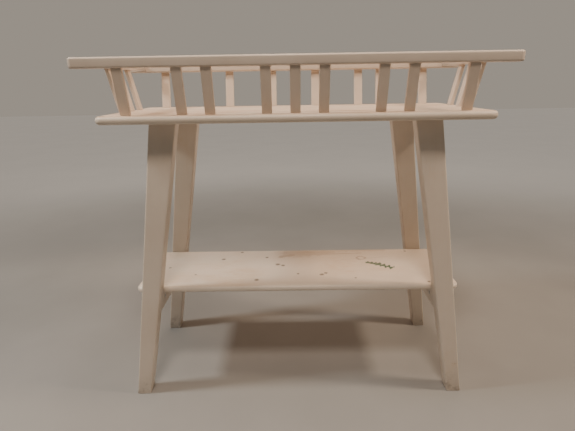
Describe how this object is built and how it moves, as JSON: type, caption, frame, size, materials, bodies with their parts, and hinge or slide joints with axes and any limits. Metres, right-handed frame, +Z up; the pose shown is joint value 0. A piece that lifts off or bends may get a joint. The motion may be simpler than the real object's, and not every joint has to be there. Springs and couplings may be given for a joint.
{
  "type": "changing table",
  "caption": "Free-standing wooden changing table: slatted tray with outward-leaning sides on splayed tapered legs, with a low open shelf.",
  "frame": {"origin": "on the floor under the middle of the table", "axes": "+X along the table's length to the right, +Y to the rear, +Z up"},
  "size_m": [1.14, 0.475, 1.015],
  "materials": {
    "paint": "warm white satin paint on wood",
    "steel": "zinc-plated steel",
    "beech": "bare beech"
  },
  "bodies": {
    "root": {"cam_bolt_front_left": "steel", "cam_bolt_front_right": "steel", "cam_bolt_rear_left": "steel", "cam_bolt_rear_right": "steel", "cam_front_left": "steel", "cam_front_right": "steel", "cam_rear_left": "steel", "cam_rear_right": "steel", "dowel_screw_front_left_1": "steel", "dowel_screw_front_left_2": "steel", "dowel_screw_front_right_1": "steel", "dowel_screw_front_right_2": "steel", "dowel_screw_rear_left_1": "steel", "dowel_screw_rear_left_2": "steel", "dowel_screw_rear_right_1": "steel", "dowel_screw_rear_right_2": "steel", "leg_front_left": "paint", "leg_front_right": "paint", "leg_rear_left": "paint", "leg_rear_right": "paint", "rail_dowel_front_left": "beech", "rail_dowel_front_right": "beech", "rail_dowel_rear_left": "beech", "rail_dowel_rear_right": "beech", "rail_front": "paint", "rail_left": "paint", "rail_rear": "paint", "rail_right": "paint", "shelf": "paint", "shelf_screw_front_left": "steel", "shelf_screw_front_right": "steel", "shelf_screw_rear_left": "steel", "shelf_screw_rear_right": "steel", "slat_front_1": "paint", "slat_front_2": "paint", "slat_front_3": "paint", "slat_front_4": "paint", "slat_front_5": "paint", "slat_front_6": "paint", "slat_front_7": "paint", "slat_front_8": "paint", "slat_front_9": "paint", "slat_left_1": "paint", "slat_left_2": "paint", "slat_left_3": "paint", "slat_rear_1": "paint", "slat_rear_2": "paint", "slat_rear_3": "paint", "slat_rear_4": "paint", "slat_rear_5": "paint", "slat_rear_6": "paint", "slat_rear_7": "paint", "slat_rear_8": "paint", "slat_rear_9": "paint", "slat_right_1": "paint", "slat_right_2": "paint", "slat_right_3": "paint", "stretcher_left": "paint", "stretcher_right": "paint", "tabletop": "paint"}
  },
  "joints": []
}
